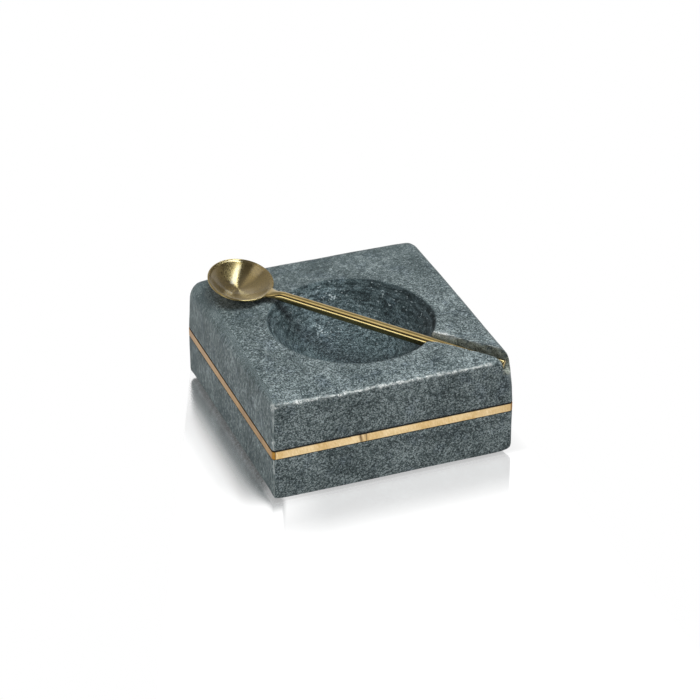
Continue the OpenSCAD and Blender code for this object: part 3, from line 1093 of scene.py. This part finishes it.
rodRings = handleRings()
handle = startPiece("spoonHandle", bpy.ops.mesh.primitive_circle_add, vertices=56,
                    radius=rodRings[0][1] * mm, fill_type="NGON")
bpy.ops.transform.rotate(value=math.radians(-90), orient_axis="Y", center_override=(0, 0, 0))
for before, after in zip(rodRings, rodRings[1:]):
    bpy.ops.mesh.extrude_region_move(TRANSFORM_OT_translate={"value": ((after[0] - before[0]) * mm, 0, 0)})
    bpy.ops.transform.resize(value=(1, after[1] / before[1], after[2] / before[2]),
                             center_override=(after[0] * mm, 0, 0))
closeUp()

# The neck's end follows the bowl's rim round, and stops inside its wall
places = vertexPlaces(handle)
halfLength, halfWidth = spoon["bowlLength"] / 2, spoon["bowlWidth"] / 2
for i, (x, y, z) in enumerate(places):
    along = (x - (spoon["handleLength"] - spoon["neckLength"])) / (spoon["neckLength"] + spoon["neckInto"])
    if along > 0:
        rimX = halfLength * (1 - math.sqrt(max(0, 1 - (y / halfWidth) ** 2)))
        places[i, 0] += along ** 3 * rimX
        places[i, 2] += along ** 2 * (-0.28)
moveVertices(handle, [alongSpoon @ Vector(p) for p in places])
smoothShading(handle, 50)


def spunBrass():
    # Lacquered brass, spun in the bowl: rings of fine scratches round its middle draw each lamp out to a
    # wedge, and the lacquer over them mirrors the room sharply
    material, shader = brushedBrass("spunBrass", "#A69060", "#93804F", (1.2, 1.2, 1.2), 0.29, 0.0)
    tree = material.node_tree
    spin = addNode(tree, "ShaderNodeUVMap", uv_map="spin").outputs[0]
    rings = vectorCalc(tree, "MULTIPLY", spin, (3, 60, 0))
    rings = noiseField(tree, rings, 1, 3, 0.7)
    tangent = addNode(tree, "ShaderNodeTangent", direction_type="UV_MAP", uv_map="spin").outputs[0]
    setInputs(tree, shader, {"Normal": bumped(tree, rings, 0.12, 0.02), "Tangent": tangent,
                             "Anisotropic": 1.0, "Anisotropic Rotation": 0.25,
                             "Coat Weight": 0.75, "Coat Roughness": 0.14})
    return material


bowl.data.materials.append(spunBrass())
drawnBrass, drawnShader = brushedBrass("drawnBrass", "#B19C68", "#9A8552", (3.0, 3.0, 3.0), 0.13, 0.08)
setInputs(drawnBrass.node_tree, drawnShader, {"Coat Weight": 0.15, "Coat Roughness": 0.14})
handle.data.materials.append(drawnBrass)
bowl.data.materials.append(drawnBrass)
bowlUp = atBowl.to_3x3() @ Vector((0, 0, 1))
for face in bowl.data.polygons:
    face.material_index = 0 if face.normal.dot(bowlUp) > 0.6 and face.index not in rimFaces else 1
for piece, node in ((bowl, "spoon_bowl"), (handle, "spoon_handle")):
    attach(piece, "spoon")
    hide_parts(node)
print("spoon finished")

# Floor: a sheet of white acrylic. It mirrors the block more and more faintly outwards, most in the shade at
# the left, where its stronger image also stands in for that shade: partly painted shade. It is plain white
# behind the block and at its right.
floor = {
    "size": 4.0,
    "bounce": "#AEAEAE",
    "frontMirror": 0.36,
    "leftMirrorAndShade": 0.88,
    "frontFade": 25.0,
    "leftFade": 22.0,
    "cornerFade": 5.0,
    "fullUntil": 0.15,
    # of the front and the left image: its share at the near corner, and its blur
    "atCorner": (0.25, 0.6),
    "blur": (0.03, 0.2),
    # the left image's share starts inside the footprint, and grows over this many millimetres
    "innerEdge": (44, 51.2),
    "leftLead": (0.0, 4.0),
    # stretches along the left face, from the near corner, and out from the block, over which things change
    "farCorner": (101.5, 103.0),
    "leftGrows": (0.0, 40.0),
    "frontComesIn": (-65.0, 0.0),
    "leftComesIn": (0.0, 16.0),
    "whiteBeyond": (0.0, 8.0),
    "underEdge": (-1.4, 0.2),
    "shadeReach": (-0.6, 24),
    # from the block outwards, how much of the sheet's own lit tone shows instead of white
    "shade": ((0.0, 1.0), (0.03, 0.0), (0.12, 0.5), (0.4, 0.2), (1.0, 1.0)),
    "tone": "#FAFAFA",
    "underShadeTone": "#3C3E3F",
}
bpy.ops.object.select_all(action="DESELECT")
bpy.ops.mesh.primitive_plane_add(size=floor["size"], location=(0, 0, 0))
floorSheet = bpy.context.object
floorSheet.name = "floorSheet"


def glossSheet():
    material, tree, shader = newMaterial("glossSheet")
    output = tree.nodes["Material Output"]
    place = placeOnPiece(tree, (1000, 1000, 0))
    width, depth = stone["halfWidth"], stone["halfDepth"]
    # how far up the left and the front face the camera sees mirrored at each place, in millimetres
    turn, tilt = math.radians(camera["turn"]), math.radians(camera["tilt"])
    rise = 1 / math.tan(tilt)
    leftRise, frontRise = rise / -math.sin(turn), rise / math.cos(turn)

    def mirroredHeights(leftStart, frontStart):
        past = vectorCalc(tree, "MULTIPLY_ADD", place, (-leftRise, -frontRise, 0),
                          (-leftStart * leftRise, -frontStart * frontRise, 0))
        return vectorCalc(tree, "MAXIMUM", past, (0, 0, 0))

    height = outermost(tree, mirroredHeights(width, depth))
    # the base is rounded, so that the left's share starts a little inside the footprint
    inner = axesOf(tree, mirroredHeights(*floor["innerEdge"]))
    lead = calc(tree, "SUBTRACT", inner["X"], inner["Y"])
    leftness = mapped(tree, lead, *floor["leftLead"], smooth=True)
    # where along the left face that is, counted from the near corner; none of it lies past the far corner
    ahead = measure(tree, "DOT_PRODUCT", place, (1 / math.tan(turn), 1, 0))
    ahead = calc(tree, "ADD", ahead, width / math.tan(turn) + depth)
    bound = mapped(tree, ahead, *floor["farCorner"], 1.0, 0.0)
    # behind and to the right of the block the sheet is white within a few millimetres
    beyond = outermost(tree, vectorCalc(tree, "ADD", place, (-width, -depth, 0)))
    beyond = mapped(tree, beyond, *floor["whiteBeyond"], 1.0, 0.0)
    bound = calc(tree, "MULTIPLY", bound, beyond)
    leftReach = mapped(tree, ahead, *floor["leftGrows"], floor["cornerFade"], floor["leftFade"],
                       smooth=True)
    reach = mapped(tree, leftness, 0.0, 1.0, floor["frontFade"], leftReach)
    # at the left the mirror's larger share also darkens the sheet where shade falls: partly painted shade
    start = mapped(tree, leftness, 0.0, 1.0, floor["frontMirror"], floor["leftMirrorAndShade"])
    share = calc(tree, "DIVIDE", height, reach)
    fade = mapped(tree, share, floor["fullUntil"], 1.0, 1.0, 0.0, smooth=True)
    # both mirror images come in slowly from the near corner
    frontIn = mapped(tree, ahead, *floor["frontComesIn"], 1.0, floor["atCorner"][0], smooth=True)
    leftIn = mapped(tree, ahead, *floor["leftComesIn"], floor["atCorner"][1], 1.0, smooth=True)
    for factor in (start, bound, between(tree, leftness, frontIn, leftIn)):
        fade = calc(tree, "MULTIPLY", fade, factor)
    blur = mapped(tree, leftness, 0.0, 1.0, *floor["blur"])
    mirror = addNode(tree, "ShaderNodeBsdfGlossy", {"Color": (1, 1, 1, 1), "Roughness": blur}).outputs[0]
    white = addNode(tree, "ShaderNodeEmission", {"Color": (1, 1, 1, 1), "Strength": 1.0}).outputs[0]
    # the sheet's own shade, in bands that follow the block
    away = mapped(tree, height, *floor["shadeReach"])
    shade = ramped(tree, away, [(stop, (value, value, value, 1)) for stop, value in floor["shade"]])
    shade = calc(tree, "MULTIPLY", shade, bound)
    # in the narrow gap under the block the sheet's colour is darkened: painted shade
    outside = vectorCalc(tree, "MULTIPLY_ADD", place, (-1, -1, 0), (-width, -depth, 0))
    under = mapped(tree, outermost(tree, outside), *floor["underEdge"], 1.0, 0.0)
    sheetTone = blended(tree, under, linear(floor["tone"]), linear(floor["underShadeTone"]))
    setInputs(tree, shader, {"Base Color": sheetTone, "Roughness": 0.6, "Specular IOR Level": 0.0})
    body = addNode(tree, "ShaderNodeMixShader", {0: shade, 1: white, 2: shader.outputs[0]}).outputs[0]
    polished = addNode(tree, "ShaderNodeMixShader", {0: fade, 1: body, 2: mirror}).outputs[0]
    # the light that it throws back onto the block is weaker, as from a table only partly lit
    bounce = addNode(tree, "ShaderNodeBsdfDiffuse", {"Color": linear(floor["bounce"])}).outputs[0]
    rays = addNode(tree, "ShaderNodeLightPath").outputs
    seen = calc(tree, "MAXIMUM", rays["Is Camera Ray"], rays["Is Glossy Ray"])
    result = addNode(tree, "ShaderNodeMixShader", {0: seen, 1: bounce, 2: polished}).outputs[0]
    tree.links.new(result, output.inputs["Surface"])
    return material


floorSheet.data.materials.append(glossSheet())

# Lights: the stone is lit by a soft box overhead, a low one at the left and a small one at the near left.
# Polished metal mirrors a long strip at the right and a low panel at the near left instead.
lights = {
    "overhead": {"place": (0.15, -0.19, 0.85), "size": (0.46, 0.46), "power": 7.6, "mirrored": False},
    "strip": {"place": (0.46, 0.035, 0.85), "size": (0.16, 0.9), "power": 4.3, "mirrored": True,
              "tint": (0.82, 0.94, 1.1)},
    "left": {"place": (-0.85, 0.08, 0.035), "size": (0.06, 0.6), "power": 2.5, "mirrored": False},
    "nearLeft": {"place": (-0.6, -0.34, 0.4), "size": (0.35, 0.35), "power": 1.3, "mirrored": False},
    "lowLeft": {"place": (-0.765, -0.418, 0.33), "size": (0.26, 0.36), "power": 0.9, "mirrored": True,
                "tint": (0.9, 0.97, 1.05)},
}
for name, lamp in lights.items():
    data = bpy.data.lights.new(name, "AREA")
    data.shape = "RECTANGLE"
    data.size, data.size_y = lamp["size"]
    data.energy = lamp["power"]
    data.color = lamp.get("tint", (1, 1, 1))
    lampObject = bpy.data.objects.new(name, data)
    lampObject.location = lamp["place"]
    # the lamp faces the block, with its long side turned along the camera's heading
    facing = (Vector(lamp["place"]) - Vector((0, 0, 0.03))).normalized()
    away = Matrix.Rotation(math.radians(camera["turn"]), 3, "Z") @ Vector((0, 1, 0))
    sideways = away.cross(facing).normalized()
    axes = Matrix((sideways, facing.cross(sideways), facing)).transposed()
    lampObject.rotation_euler = axes.to_euler()
    lampObject.visible_glossy = lamp["mirrored"]
    lampObject.visible_diffuse = not lamp["mirrored"]
    bpy.context.scene.collection.objects.link(lampObject)

# What polished metal sees of the room: a bright band along the far horizon, walls that are dim behind and
# dark at the right and near side, a pale panel in the ceiling, and the lit backdrop straight behind, which
# the floor mirrors
room = {
    "diffuse": 0.3,
    "diffuseLean": (0.08, -0.25, 0.0),
    "horizon": 0.72,
    "farWall": 0.5,
    "darkWall": 0.12,
    "backdrop": 1.0,
    "panel": 1.6,
    "panelAt": (-0.238, -0.04, 0.97),
    # where one thing passes over into the next, as parts of a direction
    "farEdge": (0.0, 0.12),
    "leftEdge": (0.1, 0.4),
    "horizonEdge": (0.24, 0.34),
    "backdropSide": (0.13, 0.19),
    "backdropTop": (0.64, 0.7),
    "panelEdge": (0.955, 0.985),
    "leastLight": 0.02,
}
world = bpy.data.worlds.new("studio")
bpy.context.scene.world = world
world.use_nodes = True
roomTree = world.node_tree
background = roomTree.nodes["Background"]
background.inputs["Color"].default_value = (1, 1, 1, 1)
rays = addNode(roomTree, "ShaderNodeLightPath").outputs
toRoom = addNode(roomTree, "ShaderNodeTexCoord").outputs["Generated"]
turned = addNode(roomTree, "ShaderNodeVectorRotate",
                 {"Vector": toRoom, "Axis": (0, 0, 1), "Angle": -math.radians(camera["turn"])}).outputs[0]
aside, behind, above = axesOf(roomTree, turned)[:3]
farSide = mapped(roomTree, behind, *room["farEdge"])
leftSide = mapped(roomTree, aside, *room["leftEdge"], 1.0, 0.0, smooth=True)
farLeft = calc(roomTree, "MULTIPLY", farSide, leftSide)
walls = mapped(roomTree, farLeft, 0.0, 1.0, room["darkWall"], room["farWall"])
low = mapped(roomTree, above, *room["horizonEdge"], 1.0, 0.0, smooth=True)
low = calc(roomTree, "MULTIPLY", low, farSide)
seenRoom = between(roomTree, low, walls, room["horizon"])
narrow = calc(roomTree, "ABSOLUTE", aside)
narrow = mapped(roomTree, narrow, *room["backdropSide"], 1.0, 0.0)
lower = mapped(roomTree, above, *room["backdropTop"], 1.0, 0.0)
window = calc(roomTree, "MULTIPLY", narrow, lower)
window = calc(roomTree, "MULTIPLY", window, farSide)
seenRoom = between(roomTree, window, seenRoom, room["backdrop"])
toPanel = measure(roomTree, "DOT_PRODUCT", turned, room["panelAt"])
panel = mapped(roomTree, toPanel, *room["panelEdge"], smooth=True)
seenRoom = between(roomTree, panel, seenRoom, room["panel"])
# the room's own light is stronger from the near side
lean = measure(roomTree, "DOT_PRODUCT", toRoom, room["diffuseLean"])
lean = calc(roomTree, "ADD", lean, room["diffuse"])
lean = calc(roomTree, "MAXIMUM", lean, room["leastLight"])
strength = between(roomTree, rays["Is Glossy Ray"], lean, seenRoom)
strength = between(roomTree, rays["Is Camera Ray"], strength, 1.0)
roomTree.links.new(strength, background.inputs["Strength"])
print("floor and lights set")
